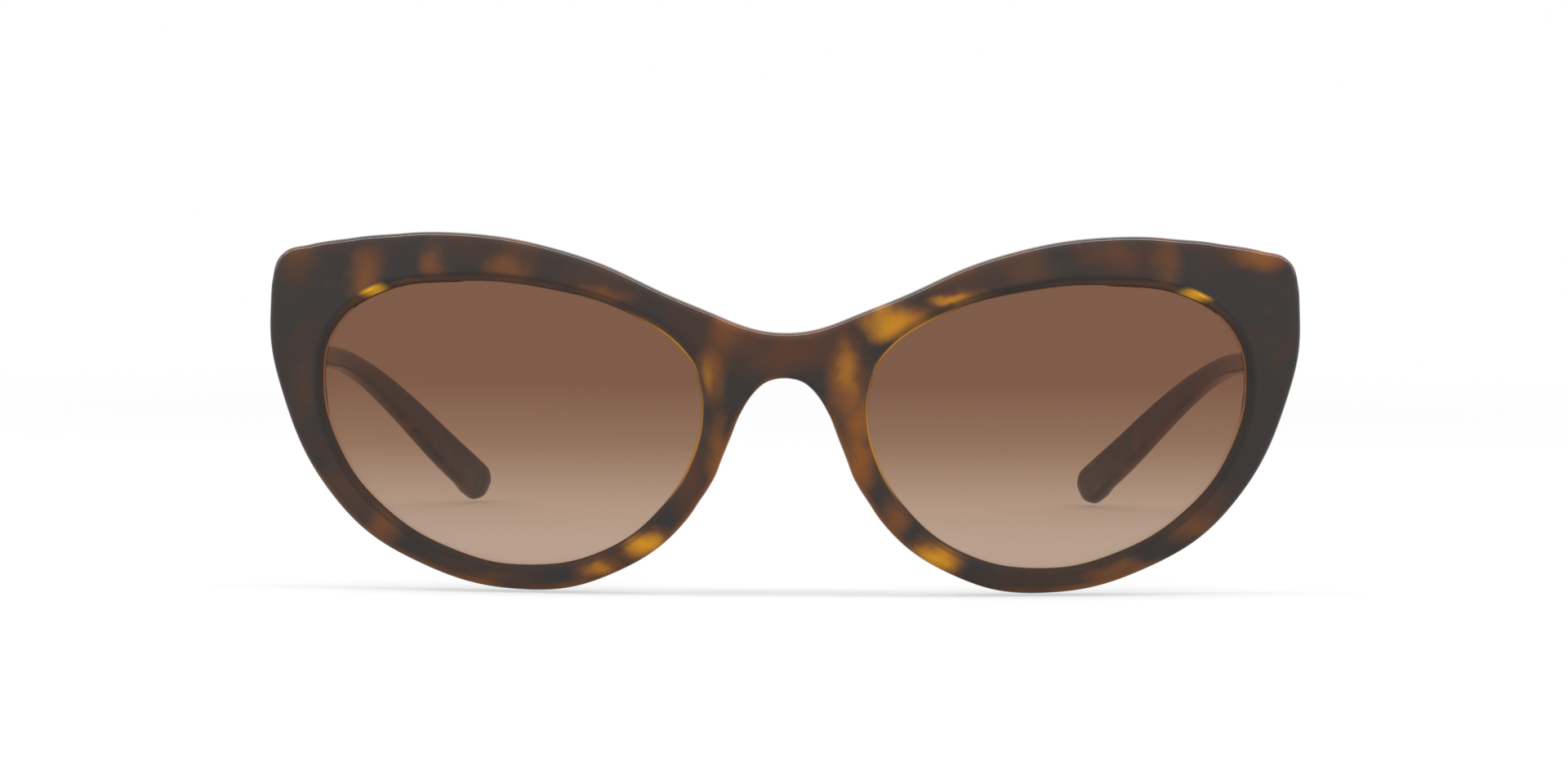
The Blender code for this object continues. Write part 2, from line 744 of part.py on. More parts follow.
for side, word in ((1, "left"), (-1, "right")):
    add_object("lens_" + word, build_lens(side), parts, tint)
    add_object("nose_pad_" + word, build_pad(side), parts, pad_acetate)

    low, high = front_plate(side, LEAF_CLEARANCE)
    recess = box("recess", low, (high[0], JOINT_Y + CUT_OVERRUN, high[2]), cutters)
    boolean(front, recess, "DIFFERENCE")
    for x, z in stud_centres(side):
        depth = LEAF_THICKNESS + STUD_LENGTH + LEAF_CLEARANCE
        centre = (x, JOINT_Y - depth / 2, z)
        hole = rod("hole", centre, (0, 1, 0), STUD_RADIUS + LEAF_CLEARANCE, depth, cutters, 16)
        boolean(front, hole, "DIFFERENCE")

    temple = add_object("temple_" + word, build_temple(side), parts, temple_acetate)
    bore_length = CUT_OVERRUN + CORE_START + CORE_LENGTH + CORE_END_GAP
    bore = core_tube("channel", side, CORE_RADIUS + CORE_CLEARANCE, -CUT_OVERRUN, bore_length)
    channel = add_object("channel", bore, cutters)
    boolean(temple, channel, "DIFFERENCE")
    low, high = temple_plate(side, LEAF_CLEARANCE)
    inner = TEMPLE_INNER_X - CUT_OVERRUN
    if side > 0:
        low = (inner, low[1], low[2])
    else:
        high = (-inner, high[1], high[2])
    recess = box("recess", low, high, cutters)
    boolean(temple, recess, "DIFFERENCE")
    tidy_mesh(temple.data)

    core = core_tube("core", side, CORE_RADIUS, CORE_START, CORE_LENGTH)
    add_object("temple_core_" + word, core, parts, core_steel)

    build_leaf("hinge_front_leaf_" + word, side, True, parts, cutters, hinge_steel)
    build_leaf("hinge_temple_leaf_" + word, side, False, parts, cutters, hinge_steel)
    build_screw("hinge_screw_" + word, side, parts, cutters, screw_steel)

tidy_mesh(front.data)
for face in front.data.polygons:
    face.use_smooth = True

for obj in cutters.objects:
    obj.hide_render = True
    obj.display_type = "WIRE"

# Centre the whole object on the origin and set the temples' origins on their axes.
low_y = min((v.co.y for obj in parts.objects for v in obj.data.vertices))
high_y = max((v.co.y for obj in parts.objects for v in obj.data.vertices))
low_z = min((v.co.z for obj in parts.objects for v in obj.data.vertices))
shift = Vector((0.0, -(low_y + high_y) / 2, -low_z))
for obj in list(parts.objects) + list(cutters.objects):
    obj.data.transform(Matrix.Translation(shift))
for word, side in (("left", 1), ("right", -1)):
    pivot = Vector((side * AXIS_X, AXIS_Y, HINGE_Z)) + shift
    for stem in ("temple_", "temple_core_", "hinge_temple_leaf_"):
        obj = bpy.data.objects[stem + word]
        obj.data.transform(Matrix.Translation(-pivot))
        obj.location = pivot
bpy.context.view_layer.update()
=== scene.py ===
# %% [markdown]
# # Cat eye sunglasses: polish, pattern and light
#
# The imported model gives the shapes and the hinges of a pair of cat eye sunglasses. This lesson
# gives them the look of polished tortoise plastic, brown gradient lenses and plain nickel silver
# hinges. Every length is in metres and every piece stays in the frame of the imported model, so
# nothing has to be fitted by eye.

import json
import math

import bpy
from mathutils import Matrix, Vector, kdtree

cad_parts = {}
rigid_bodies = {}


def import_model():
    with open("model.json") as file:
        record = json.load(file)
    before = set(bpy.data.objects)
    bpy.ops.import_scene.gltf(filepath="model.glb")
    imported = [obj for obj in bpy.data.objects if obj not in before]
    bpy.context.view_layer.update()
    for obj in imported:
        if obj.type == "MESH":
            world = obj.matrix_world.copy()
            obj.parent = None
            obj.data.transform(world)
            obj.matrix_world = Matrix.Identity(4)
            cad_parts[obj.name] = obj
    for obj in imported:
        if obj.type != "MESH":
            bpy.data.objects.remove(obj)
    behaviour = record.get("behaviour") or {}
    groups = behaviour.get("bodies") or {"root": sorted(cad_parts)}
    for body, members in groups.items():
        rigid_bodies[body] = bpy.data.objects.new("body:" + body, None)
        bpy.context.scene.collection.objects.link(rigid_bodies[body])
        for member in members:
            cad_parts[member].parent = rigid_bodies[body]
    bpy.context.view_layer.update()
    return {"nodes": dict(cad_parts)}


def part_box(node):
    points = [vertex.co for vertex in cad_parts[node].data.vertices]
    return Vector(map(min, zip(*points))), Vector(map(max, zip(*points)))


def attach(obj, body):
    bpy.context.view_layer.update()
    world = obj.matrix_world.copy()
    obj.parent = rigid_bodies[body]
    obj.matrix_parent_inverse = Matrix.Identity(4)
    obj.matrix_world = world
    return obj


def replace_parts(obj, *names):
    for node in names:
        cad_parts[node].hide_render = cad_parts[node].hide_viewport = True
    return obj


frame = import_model()
MM = 0.001
print("nodes:", sorted(frame["nodes"]))

# %% [markdown]
# ## From loose triangles to one skin
#
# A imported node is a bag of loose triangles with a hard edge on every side, which a gloss finish
# would show as facets. A plastic front has one closed skin. The faces could be modelled again from
# nothing, but the shape is already the right one, so a copy is welded and its flat pairs of
# triangles become quads, which round better.

# %% A helper that welds a copy of a node
WELD = 0.002 * MM


def select_only(obj):
    bpy.ops.object.select_all(action="DESELECT")
    obj.select_set(True)
    bpy.context.view_layer.objects.active = obj


def welded_copy(node, piece_name):
    select_only(frame["nodes"][node])
    bpy.ops.object.duplicate()
    piece = bpy.context.view_layer.objects.active
    piece.name = piece_name
    bpy.ops.object.parent_clear(type="CLEAR_KEEP_TRANSFORM")
    bpy.ops.mesh.customdata_custom_splitnormals_clear()
    bpy.ops.object.mode_set(mode="EDIT")
    bpy.ops.mesh.select_all(action="SELECT")
    bpy.ops.mesh.remove_doubles(threshold=WELD)
    bpy.ops.mesh.tris_convert_to_quads()
    bpy.ops.object.mode_set(mode="OBJECT")
    print(piece.name, "has", len(piece.data.vertices), "welded points")
    return piece


print("points closer than", WELD / MM, "mm become one")

# %% [markdown]
# ## Corners that stay
#
# Polishing rounds the outline of a plastic frame, but some edges are true corners, such as the
# walls of the hinge recess. They are found by their angle and creased. The bevel beside each lens
# is softer than the round of the outline, so an angle alone can't tell them apart. Its edges are
# found by their place as well: among the softer corners, they are the only ones close to a lens.

# %% A helper that creases the corners
SIDES = ("left", "right")
TRUE_CORNER = math.radians(47)
SOFT_CORNER = math.radians(38)
NEAR_LENS = 1.7 * MM
FULL_CREASE = 1.0


def lens_points():
    meshes = [frame["nodes"][f"lens_{side}"].data for side in SIDES]
    points = [vertex.co for mesh in meshes for vertex in mesh.vertices]
    tree = kdtree.KDTree(len(points))
    for index, point in enumerate(points):
        tree.insert(point, index)
    tree.balance()
    return tree


def keep_selected_near_lens(piece):
    near_points = lens_points()
    points = piece.data.vertices
    for edge in piece.data.edges:
        if edge.select:
            first, second = edge.vertices
            *_, distance = near_points.find((points[first].co + points[second].co) / 2)
            edge.select = distance < NEAR_LENS


def crease_corners(piece, beside_lens):
    bpy.ops.object.mode_set(mode="EDIT")
    bpy.ops.mesh.select_mode(type="EDGE")
    bpy.ops.mesh.select_all(action="DESELECT")
    if beside_lens:
        bpy.ops.mesh.edges_select_sharp(sharpness=SOFT_CORNER)
        bpy.ops.object.mode_set(mode="OBJECT")
        keep_selected_near_lens(piece)
        bpy.ops.object.mode_set(mode="EDIT")
    bpy.ops.mesh.edges_select_sharp(sharpness=TRUE_CORNER)
    bpy.ops.transform.edge_crease(value=FULL_CREASE)
    bpy.ops.object.mode_set(mode="OBJECT")


print("corners over", round(math.degrees(TRUE_CORNER)), "degrees stay everywhere, and those over",
      round(math.degrees(SOFT_CORNER)), "degrees stay beside a lens")

# %% [markdown]
# ## Tumbling
#
# Plastic frames roll in a drum of wooden pegs until their edges are round and bright. A Bevel
# modifier could round the edges too, but on a skin of small faces its strips run into each other. A
# subdivision surface rounds the whole skin at once, as the drum does, and leaves the creased
# corners.

# %% A helper that tumbles a welded copy smooth
TUMBLE_LEVELS = 2


def tumbled_copy(node, piece_name, beside_lens=False):
    piece = welded_copy(node, piece_name)
    crease_corners(piece, beside_lens)
    tumbling = piece.modifiers.new("tumbling", "SUBSURF")
    tumbling.levels = TUMBLE_LEVELS
    tumbling.render_levels = TUMBLE_LEVELS
    bpy.ops.object.modifier_apply(modifier=tumbling.name)
    bpy.ops.object.shade_smooth_by_angle(angle=SOFT_CORNER)
    print(piece.name, "has", len(piece.data.polygons), "faces after tumbling")
    return piece


print("each face is divided", TUMBLE_LEVELS, "times")

# %% [markdown]
# ## The front, the pads and the temples
#
# The front is cut from one sheet of cellulose acetate, the small pads are glued on beside the nose,
# and the temples are cut from a second sheet. All five are tumbled until every edge shines. The
# pads and temples come in a left and a right hand, and each has its own node, so a loop treats both
# sides the same way.

# %% Polish the plastic pieces
front = tumbled_copy("front_frame", "front_polished", beside_lens=True)
pads = {side: tumbled_copy(f"nose_pad_{side}", f"nose_pad_{side}_polished") for side in SIDES}
temples = {side: tumbled_copy(f"temple_{side}", f"temple_{side}_polished") for side in SIDES}
print("polished pieces:", 1 + len(pads) + len(temples))

# %% [markdown]
# ## A few touches by hand
#
# After the drum a worker files a few places by hand. In Blender this is proportional editing: the
# points of one place are chosen and moved, and the points around them follow less and less, so no
# dent is left. The places are written for the left side and mirrored for the right one. Sculpt
# brushes could do the same, but a script can't hold a brush, and a pull with a place, a size and a
# reach is easy to repeat.

# %% Helpers that choose and pull points
SIGNS = {"left": 1, "right": -1}


def mirrored(vector, sign):
    return Vector((sign * vector.x, vector.y, vector.z))


def near(place, size, behind=-math.inf):
    def wanted(vertex):
        across, deep, up = vertex.co
        return deep > behind and math.hypot(across - place.x, up - place.z) < size
    return wanted


def select_points(piece, wanted):
    select_only(piece)
    bpy.ops.object.mode_set(mode="EDIT")
    bpy.ops.mesh.select_mode(type="VERT")
    bpy.ops.mesh.select_all(action="DESELECT")
    bpy.ops.object.mode_set(mode="OBJECT")
    for vertex in piece.data.vertices:
        vertex.select = wanted(vertex)
    print(piece.name, "has", sum(vertex.select for vertex in piece.data.vertices), "chosen points")
    bpy.ops.object.mode_set(mode="EDIT")


def pull_points(piece, wanted, by, reach):
    select_points(piece, wanted)
    bpy.ops.transform.translate(value=by, use_proportional_edit=True, proportional_size=reach,
                                proportional_edit_falloff="SMOOTH")
    bpy.ops.object.mode_set(mode="OBJECT")


print("sides and their signs:", SIGNS)

# %% [markdown]
# ### The upper corners and the brow
#
# The upswept corners give a cat eye front its character, and the drum has taken a little too much
# off them. They are pulled outwards and up, and the brow beside them is raised so that its line
# runs into the corner without a hollow. The first pull has a short reach, to keep the corner crisp,
# and the second a long one.

# %% Pull the corners and the brow
CORNER = Vector((67.6 * MM, 0, 44.8 * MM))
CORNER_SIZE = 0.9 * MM
CORNER_PULL = Vector((0.35 * MM, 0, 0.45 * MM))
CORNER_REACH = 3.2 * MM
BROW = Vector((58.8 * MM, 0, 46.4 * MM))
BROW_SIZE = 1.2 * MM
BROW_PULL = Vector((0, 0, 0.36 * MM))
BROW_REACH = 6.5 * MM

for sign in SIGNS.values():
    at_corner = near(mirrored(CORNER, sign), CORNER_SIZE)
    pull_points(front, at_corner, mirrored(CORNER_PULL, sign), CORNER_REACH)
    at_brow = near(mirrored(BROW, sign), BROW_SIZE)
    pull_points(front, at_brow, BROW_PULL, BROW_REACH)

# %% [markdown]
# ### The nose edges and the pads
#
# On the real front the pads and the nose edges are filed together until no step shows from ahead.
# Here the nose edge is pulled over the pad, and the pad is tucked in behind it. One long pull would
# leave a step at both ends of the edge, so four short pulls are made, each over a shorter stretch
# than the one before. A stretch is written as its lowest and highest point in millimetres.

# %% Draw the nose edges over the pads
NOSE_WIDTH = 13.0 * MM
NOSE_FACING = 0.5
NOSE_STRETCHES = [(13.5, 27.5), (14.5, 26.5), (15.5, 25.5), (16.5, 24.5)]
NOSE_PULL = Vector((-0.22 * MM, 0, 0))
NOSE_REACH = 2.4 * MM
PAD_TUCK = 0.45 * MM


def nose_edge(sign, low, high):
    def wanted(vertex):
        beside_nose = 0 < sign * vertex.co.x < NOSE_WIDTH
        return beside_nose and low < vertex.co.z < high and sign * vertex.normal.x < -NOSE_FACING
    return wanted


def every_point(vertex):
    return True


for side, sign in SIGNS.items():
    for low, high in NOSE_STRETCHES:
        pull_points(front, nose_edge(sign, low * MM, high * MM), mirrored(NOSE_PULL, sign), NOSE_REACH)
    select_points(pads[side], every_point)
    bpy.ops.transform.translate(value=(sign * PAD_TUCK, 0, 0))
    bpy.ops.object.mode_set(mode="OBJECT")

# %% [markdown]
# ### The temple tips
#
# The tips sit behind the ears, so they are filed round. Two pulls bring the end of a tip to its
# outline, and then all its points are smoothed many times, each towards the middle of its
# neighbours. A pull is written as its place, its movement and its reach.

# %% Round the temple tips
TIP_START = 62.0 * MM
TIP_SIZE = 0.8 * MM
TIP_PULLS = [
    (Vector((51.6 * MM, 0, 1.2 * MM)), Vector((0.45 * MM, 0, -0.05 * MM)), 5.0 * MM),
    (Vector((48.4 * MM, 0, 0.5 * MM)), Vector((0.15 * MM, 0, 0.45 * MM)), 2.2 * MM),
]
TIP_SMOOTHING = 0.5
TIP_PASSES = 24


def in_tip(vertex):
    return vertex.co.y > TIP_START


for side, sign in SIGNS.items():
    for place, by, reach in TIP_PULLS:
        at_place = near(mirrored(place, sign), TIP_SIZE, behind=TIP_START)
        pull_points(temples[side], at_place, mirrored(by, sign), reach)
    select_points(temples[side], in_tip)
    bpy.ops.mesh.vertices_smooth(factor=TIP_SMOOTHING, repeat=TIP_PASSES)
    bpy.ops.object.mode_set(mode="OBJECT")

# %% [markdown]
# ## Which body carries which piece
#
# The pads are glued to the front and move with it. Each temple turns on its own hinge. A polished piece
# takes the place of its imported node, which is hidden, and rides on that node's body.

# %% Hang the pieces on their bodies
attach(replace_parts(front, "front_frame"), "front")
for side in SIDES:
    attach(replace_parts(pads[side], f"nose_pad_{side}"), "front")
    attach(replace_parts(temples[side], f"temple_{side}"), f"{side}_temple")

# %% [markdown]
# ## The lens blanks
#
# A lens is a curved blank of even thickness whose edge is ground to a bevel that sits in the groove
# of the rim. Light bends at both faces, so a normal that leans over the ground edge would show as a
# false image in the lens. The faces are therefore smoothed alone, and every edge of the bevel stays
# a true corner.

# %% Polish the lens blanks
GROUND_EDGE = math.radians(12)


def lens_blank(side):
    lens = welded_copy(f"lens_{side}", f"lens_{side}_polished")
    bpy.ops.object.shade_smooth_by_angle(angle=GROUND_EDGE)
    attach(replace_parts(lens, f"lens_{side}"), "front")
    return lens


lenses = {side: lens_blank(side) for side in SIDES}

# %% [markdown]
# ## How far each point of the front lies from its lens
#
# Where the front meets a lens, a bevel and a short wall drop to the groove. Little light reaches
# that band, so it is darker than the face, apart from a few places where light comes through the
# plastic. A material can't know how far a point is from a lens, so the gap is measured here once
# and kept on the mesh as an attribute, in millimetres.

# %% Measure the gap to the lens
LENS_GAP = "lens_gap"

gaps = front.data.attributes.new(LENS_GAP, "FLOAT", "POINT").data
for vertex, gap in zip(front.data.vertices, gaps):
    lens = lenses["left" if vertex.co.x > 0 else "right"]
    nearest = lens.closest_point_on_mesh(vertex.co)[1]
    gap.value = (nearest - vertex.co).length / MM
print("the nearest point lies", round(min(gap.value for gap in gaps), 2), "mm from its lens")

# %% [markdown]
# ## Nodes written as short lines
#
# Tortoise acetate is made by pressing chips of coloured sheet together, so its pattern runs through
# the whole thickness. A picture wrapped around the front couldn't show that, and nodes that read
# the place in the plastic can. These helpers add a node and fill its sockets, with a link where
# another node gives the value and with the value itself where it is plain. What the materials share
# goes into node groups with named sockets.

# %% Helpers for nodes
def fill_sockets(tree, node, values):
    for socket, value in values:
        if isinstance(value, bpy.types.NodeSocket):
            tree.links.new(value, node.inputs[socket])
        else:
            node.inputs[socket].default_value = value


def add_node(tree, kind, values=(), **settings):
    node = tree.nodes.new(kind)
    for name, setting in settings.items():
        setattr(node, name, setting)
    fill_sockets(tree, node, values)
    return node


def vector_math(tree, operation, values):
    return add_node(tree, "ShaderNodeVectorMath", values, operation=operation).outputs


def remapped(tree, value, start, full, low=0.0, high=1.0, interpolation="LINEAR"):
    values = [("Value", value), ("From Min", start), ("From Max", full),
              ("To Min", low), ("To Max", high)]
    node = add_node(tree, "ShaderNodeMapRange", values, interpolation_type=interpolation)
    return node.outputs["Result"]


print("node groups so far:", len(bpy.data.node_groups))

# %% [markdown]
# ## Edges of chips that wander
#
# The pressed chips have no straight edges, because the sheet flows a little in the press. This
# group moves each place by a noise before the pattern is looked up there. The noise runs around a
# half, so a half is taken off first, and places move to both sides.

# %% The warp of the pressed sheet
WARP_DETAIL = 3.0
WARP_ROUGHNESS = 0.55
NOISE_MIDDLE = (0.5, 0.5, 0.5)


def new_group(name, inputs, outputs):
    group = bpy.data.node_groups.new(name, "ShaderNodeTree")
    for socket_name, kind, value in inputs:
        socket = group.interface.new_socket(name=socket_name, in_out="INPUT", socket_type=kind)
        socket.default_value = value
    for socket_name, kind in outputs:
        group.interface.new_socket(name=socket_name, in_out="OUTPUT", socket_type=kind)
    return group, group.nodes.new("NodeGroupInput").outputs, group.nodes.new("NodeGroupOutput")


chip_warp, given, result = new_group(
    "chip_warp",
    [("Vector", "NodeSocketVector", (0, 0, 0)), ("Scale", "NodeSocketFloat", 200.0),
     ("Reach", "NodeSocketFloat", 2.0 * MM)],
    [("Vector", "NodeSocketVector")],
)
wander = add_node(chip_warp, "ShaderNodeTexNoise", [
    ("Vector", given["Vector"]), ("Scale", given["Scale"]),
    ("Detail", WARP_DETAIL), ("Roughness", WARP_ROUGHNESS),
]).outputs["Color"]
centred = vector_math(chip_warp, "SUBTRACT", [(0, wander), (1, NOISE_MIDDLE)])[0]
scaled = vector_math(chip_warp, "SCALE", [(0, centred), ("Scale", given["Reach"])])[0]
moved = vector_math(chip_warp, "ADD", [(0, given["Vector"]), (1, scaled)])[0]
fill_sockets(chip_warp, result, [("Vector", moved)])
print(chip_warp.name, "has", len(chip_warp.nodes), "nodes")

# %% [markdown]
# ## One soft chip
#
# A chip is a lump of clear or coloured plastic that fades into the dark around it. The group
# measures how far a place is from the chip's centre, in units of the chip's own reach, and turns
# that into a soft mask. A plain noise would put chips anywhere, and with this group each one is
# placed. Through the sheet its reach is a metre, far more than the plastic is thick, so a chip
# shows on the back where it shows on the front.

# %% The mask of a chip
CHIP_EDGE = 1.30
CHIP_HEART = 0.10
THROUGH_THE_SHEET = 1.0

amber_chip, given, result = new_group(
    "amber_chip",
    [("Vector", "NodeSocketVector", (0, 0, 0)), ("Centre", "NodeSocketVector", (0, 0, 0)),
     ("Reach", "NodeSocketVector", (4.0 * MM, THROUGH_THE_SHEET, 4.0 * MM)),
     ("Strength", "NodeSocketFloat", 1.0)],
    [("Mask", "NodeSocketFloat")],
)
offset = vector_math(amber_chip, "SUBTRACT", [(0, given["Vector"]), (1, given["Centre"])])[0]
ratio = vector_math(amber_chip, "DIVIDE", [(0, offset), (1, given["Reach"])])[0]
away = vector_math(amber_chip, "LENGTH", [(0, ratio)])["Value"]
fade = remapped(amber_chip, away, CHIP_EDGE, CHIP_HEART, high=given["Strength"],
                interpolation="SMOOTHSTEP")
fill_sockets(amber_chip, result, [("Mask", fade)])
print(amber_chip.name, "has", len(amber_chip.nodes), "nodes")

# %% [markdown]
# ## The haze of a worn polish
#
# Buffed plastic is glossy but never even: hands leave a faint haze, and the buffing wheel leaves
# slow ripples. One noise makes the gloss vary between a smooth and a hazy value, and a second one
# gives the height of the ripples for a Bump node. A single roughness would look like a plastic toy.

# %% The group for the polish
HAZE_SCALE = 90.0
HAZE_DETAIL = 6.0
HAZE_ROUGHNESS = 0.7
HAZE_START, HAZE_FULL = 0.45, 0.75
RIPPLE_SCALE = 260.0
RIPPLE_DETAIL = 1.0

worn_polish, given, result = new_group(
    "worn_polish",
    [("Vector", "NodeSocketVector", (0, 0, 0)), ("Smooth", "NodeSocketFloat", 0.05),
     ("Hazy", "NodeSocketFloat", 0.12)],
    [("Roughness", "NodeSocketFloat"), ("Height", "NodeSocketFloat")],
)
haze = add_node(worn_polish, "ShaderNodeTexNoise", [
    ("Vector", given["Vector"]), ("Scale", HAZE_SCALE),
    ("Detail", HAZE_DETAIL), ("Roughness", HAZE_ROUGHNESS),
]).outputs["Fac"]
gloss = remapped(worn_polish, haze, HAZE_START, HAZE_FULL, low=given["Smooth"], high=given["Hazy"])
ripple = add_node(worn_polish, "ShaderNodeTexNoise", [
    ("Vector", given["Vector"]), ("Scale", RIPPLE_SCALE), ("Detail", RIPPLE_DETAIL),
]).outputs["Fac"]
fill_sockets(worn_polish, result, [("Roughness", gloss), ("Height", ripple)])
print(worn_polish.name, "has", len(worn_polish.nodes), "nodes")

# %% [markdown]
# ## Mixing the tones of the sheet
#
# Every tone of the sheet is laid over the one before by a mask. Some masks are noise, for clouds
# that may lie anywhere. Others are the strongest of a list of chips. A chip is written as its place
# across and up, its half width and half height, all in millimetres, and its strength from 0 to 1.
# Places across count from the middle of the bridge, and places up from the floor.

# %% Helpers that make and mix masks
CLOUD_DETAIL = 2.0


def group_node(tree, group, values):
    return add_node(tree, "ShaderNodeGroup", values, node_tree=group).outputs


def combined(tree, operation, first, second):
    return add_node(tree, "ShaderNodeMath", [(0, first), (1, second)], operation=operation).outputs[0]


def mix_colour(tree, mask, under, over):
    # A Mix node has sockets for every kind of value: 6 and 7 take the colours, and output 2 gives one.
    values = [(0, mask), (6, under), (7, over)]
    return add_node(tree, "ShaderNodeMix", values, data_type="RGBA").outputs[2]


def patchy(tree, place, scale, start, softness, most=1.0):
    noise = add_node(tree, "ShaderNodeTexNoise", [
        ("Vector", place), ("Scale", scale), ("Detail", CLOUD_DETAIL),
    ]).outputs["Fac"]
    return remapped(tree, noise, start, start + softness, high=most, interpolation="SMOOTHSTEP")


def strongest_chip(tree, place, chips):
    strongest = 0.0
    for across, up, half_width, half_height, strength in chips:
        mask = group_node(tree, amber_chip, [
            ("Vector", place),
            ("Centre", (across * MM, 0, up * MM)),
            ("Reach", (half_width * MM, THROUGH_THE_SHEET, half_height * MM)),
            ("Strength", strength),
        ])["Mask"]
        strongest = combined(tree, "MAXIMUM", strongest, mask)
    return strongest


print("node groups to use:", [group.name for group in bpy.data.node_groups])

# %% [markdown]
# ## Light that comes through the edges
#
# Acetate is a little clear, so its thin edges glow amber where light comes in from behind: along
# the undersides, in patches, and on both sides of the nose. Real light through the plastic would be
# slow and noisy to render. The glow is a mask instead, from the way a face looks: down, or towards
# the middle of the nose.

# %% A helper that finds the glowing edges
DOWN_START, DOWN_FULL = -0.15, -0.60
DOWN_MOST = 0.85
DOWN_PATCHES = {"scale": 60.0, "start": 0.38, "softness": 0.25}
INWARD_START, INWARD_FULL = -1.5 * MM, -6.0 * MM
NOSE_SIDES = [(0.0, 17.0, 20.0, 15.0, 0.9)]


def axes(tree, vector):
    return add_node(tree, "ShaderNodeSeparateXYZ", [(0, vector)]).outputs


def edge_glow(tree, coordinates, wandering):
    facing = axes(tree, coordinates["Normal"])
    down = remapped(tree, facing["Z"], DOWN_START, DOWN_FULL, high=DOWN_MOST)
    down = combined(tree, "MULTIPLY", down, patchy(tree, wandering, **DOWN_PATCHES))
    # Facing times place is negative on both sides where a face looks towards the middle.
    inward = combined(tree, "MULTIPLY", facing["X"], axes(tree, coordinates["Object"])["X"])
    inward = remapped(tree, inward, INWARD_START, INWARD_FULL)
    inward = combined(tree, "MULTIPLY", inward, strongest_chip(tree, coordinates["Object"], NOSE_SIDES))
    return combined(tree, "MAXIMUM", down, inward)


print("edges glow fully where they look down by", -DOWN_FULL)

# %% [markdown]
# ## The edge beside the lens
#
# The measured gap tells the bevel from the wall behind it. The bevel lies within about 1.7 mm of the
# lens and gets a painted shade, apart from the sides next to the nose. The wall lies within about 1 mm.
# It gets a painted brown shade, with a thin painted gold line for light that comes through it beside
# the nose. At the upper outer corners of the openings the bevel gets a painted yellow glint, but only
# on faces that look ahead.

# %% A helper that shades the edge beside the lens
# Painted shade for the bevel and the wall, a painted gold line of light, and a painted glint.
DEEP_SHADE = (0.022, 0.014, 0.011, 1)
WALL_SHADE_BROWN = (0.050, 0.020, 0.008, 1)
GOLD = (0.92, 0.39, 0.002, 1)
GLINT = (1.0, 0.48, 0.0, 1)
BEVEL_GAP = (1.72, 1.50)
BEVEL_SHADE = 0.6
WALL_GAP = (1.00, 0.80)
WALL_SHADE = 0.8
AHEAD_START, AHEAD_FULL = 0.0, -0.3
LIT_SIDES = [
    (-15.0, 28.0, 13.0, 18.0, 1.0),
    (15.0, 28.0, 13.0, 18.0, 1.0),
]
WALL_GLINTS = [
    (-14.5, 34.0, 7.0, 7.0, 0.8),
    (15.5, 35.0, 9.0, 7.0, 0.9),
    (-12.0, 20.0, 4.0, 12.0, 0.45),
    (12.0, 20.0, 4.0, 12.0, 0.55),
]
BEVEL_GLINTS = [
    (-55.2, 40.0, 2.2, 1.1, 1.0),
    (55.0, 40.1, 2.8, 1.1, 1.0),
]


def within_gap(tree, outer, inner, most=1.0):
    gap = add_node(tree, "ShaderNodeAttribute", attribute_name=LENS_GAP).outputs["Fac"]
    return remapped(tree, gap, outer, inner, high=most)


def lens_edge(tree, coordinates, colour):
    place = coordinates["Object"]
    # Painted shade on the bevel, left off on the sides next to the nose.
    unlit = combined(tree, "SUBTRACT", 1.0, strongest_chip(tree, place, LIT_SIDES))
    shade = combined(tree, "MULTIPLY", unlit, within_gap(tree, *BEVEL_GAP, BEVEL_SHADE))
    colour = mix_colour(tree, shade, colour, DEEP_SHADE)

    # Painted brown shade on the wall, and a thin painted gold line of light beside the nose.
    wall = within_gap(tree, *WALL_GAP)
    colour = mix_colour(tree, combined(tree, "MULTIPLY", wall, WALL_SHADE), colour, WALL_SHADE_BROWN)
    painted_gold_line = combined(tree, "MULTIPLY", wall, strongest_chip(tree, place, WALL_GLINTS))
    colour = mix_colour(tree, painted_gold_line, colour, GOLD)

    # A painted glint on the bevel where it looks ahead.
    ahead = remapped(tree, axes(tree, coordinates["Normal"])["Y"], AHEAD_START, AHEAD_FULL)
    bevel_ahead = combined(tree, "MULTIPLY", ahead, within_gap(tree, *BEVEL_GAP))
    glint = combined(tree, "MULTIPLY", bevel_ahead, strongest_chip(tree, place, BEVEL_GLINTS))
    return mix_colour(tree, glint, colour, GLINT)


print("bevel and wall lie within", BEVEL_GAP[0], "and", WALL_GAP[0], "mm of the lens")

# %% [markdown]
# ## Starting a material
#
# Every finish here starts in the same way: a new material already holds a Principled BSDF, the
# shader that stands for plastic, glass, metal and paper alike. Fine relief such as ripples and tool
# marks is far too small to model, so a Bump node turns its height into a tilt of the surface.

# %% Helpers that start a material and add relief
def new_material(name):
    material = bpy.data.materials.new(name)
    material.use_nodes = True
    return material, material.node_tree, material.node_tree.nodes["Principled BSDF"]


def bumped(tree, height, strength, depth):
    values = [("Height", height), ("Strength", strength), ("Distance", depth)]
    return add_node(tree, "ShaderNodeBump", values).outputs["Normal"]


print("materials so far:", len(bpy.data.materials))

# %% [markdown]
# ## Tortoise acetate
#
# The sheet is near black for the most part, with dark brown clouds and reddish streaks where the
# black is thin. Over these lie the placed chips, red brown, amber or gold, and then the glow of the
# edges. The shine is the plain reflection of a polished plastic, held low, because the tent around
# it is white on all sides. All numbers that are the same all over stay on the shader's own sockets.

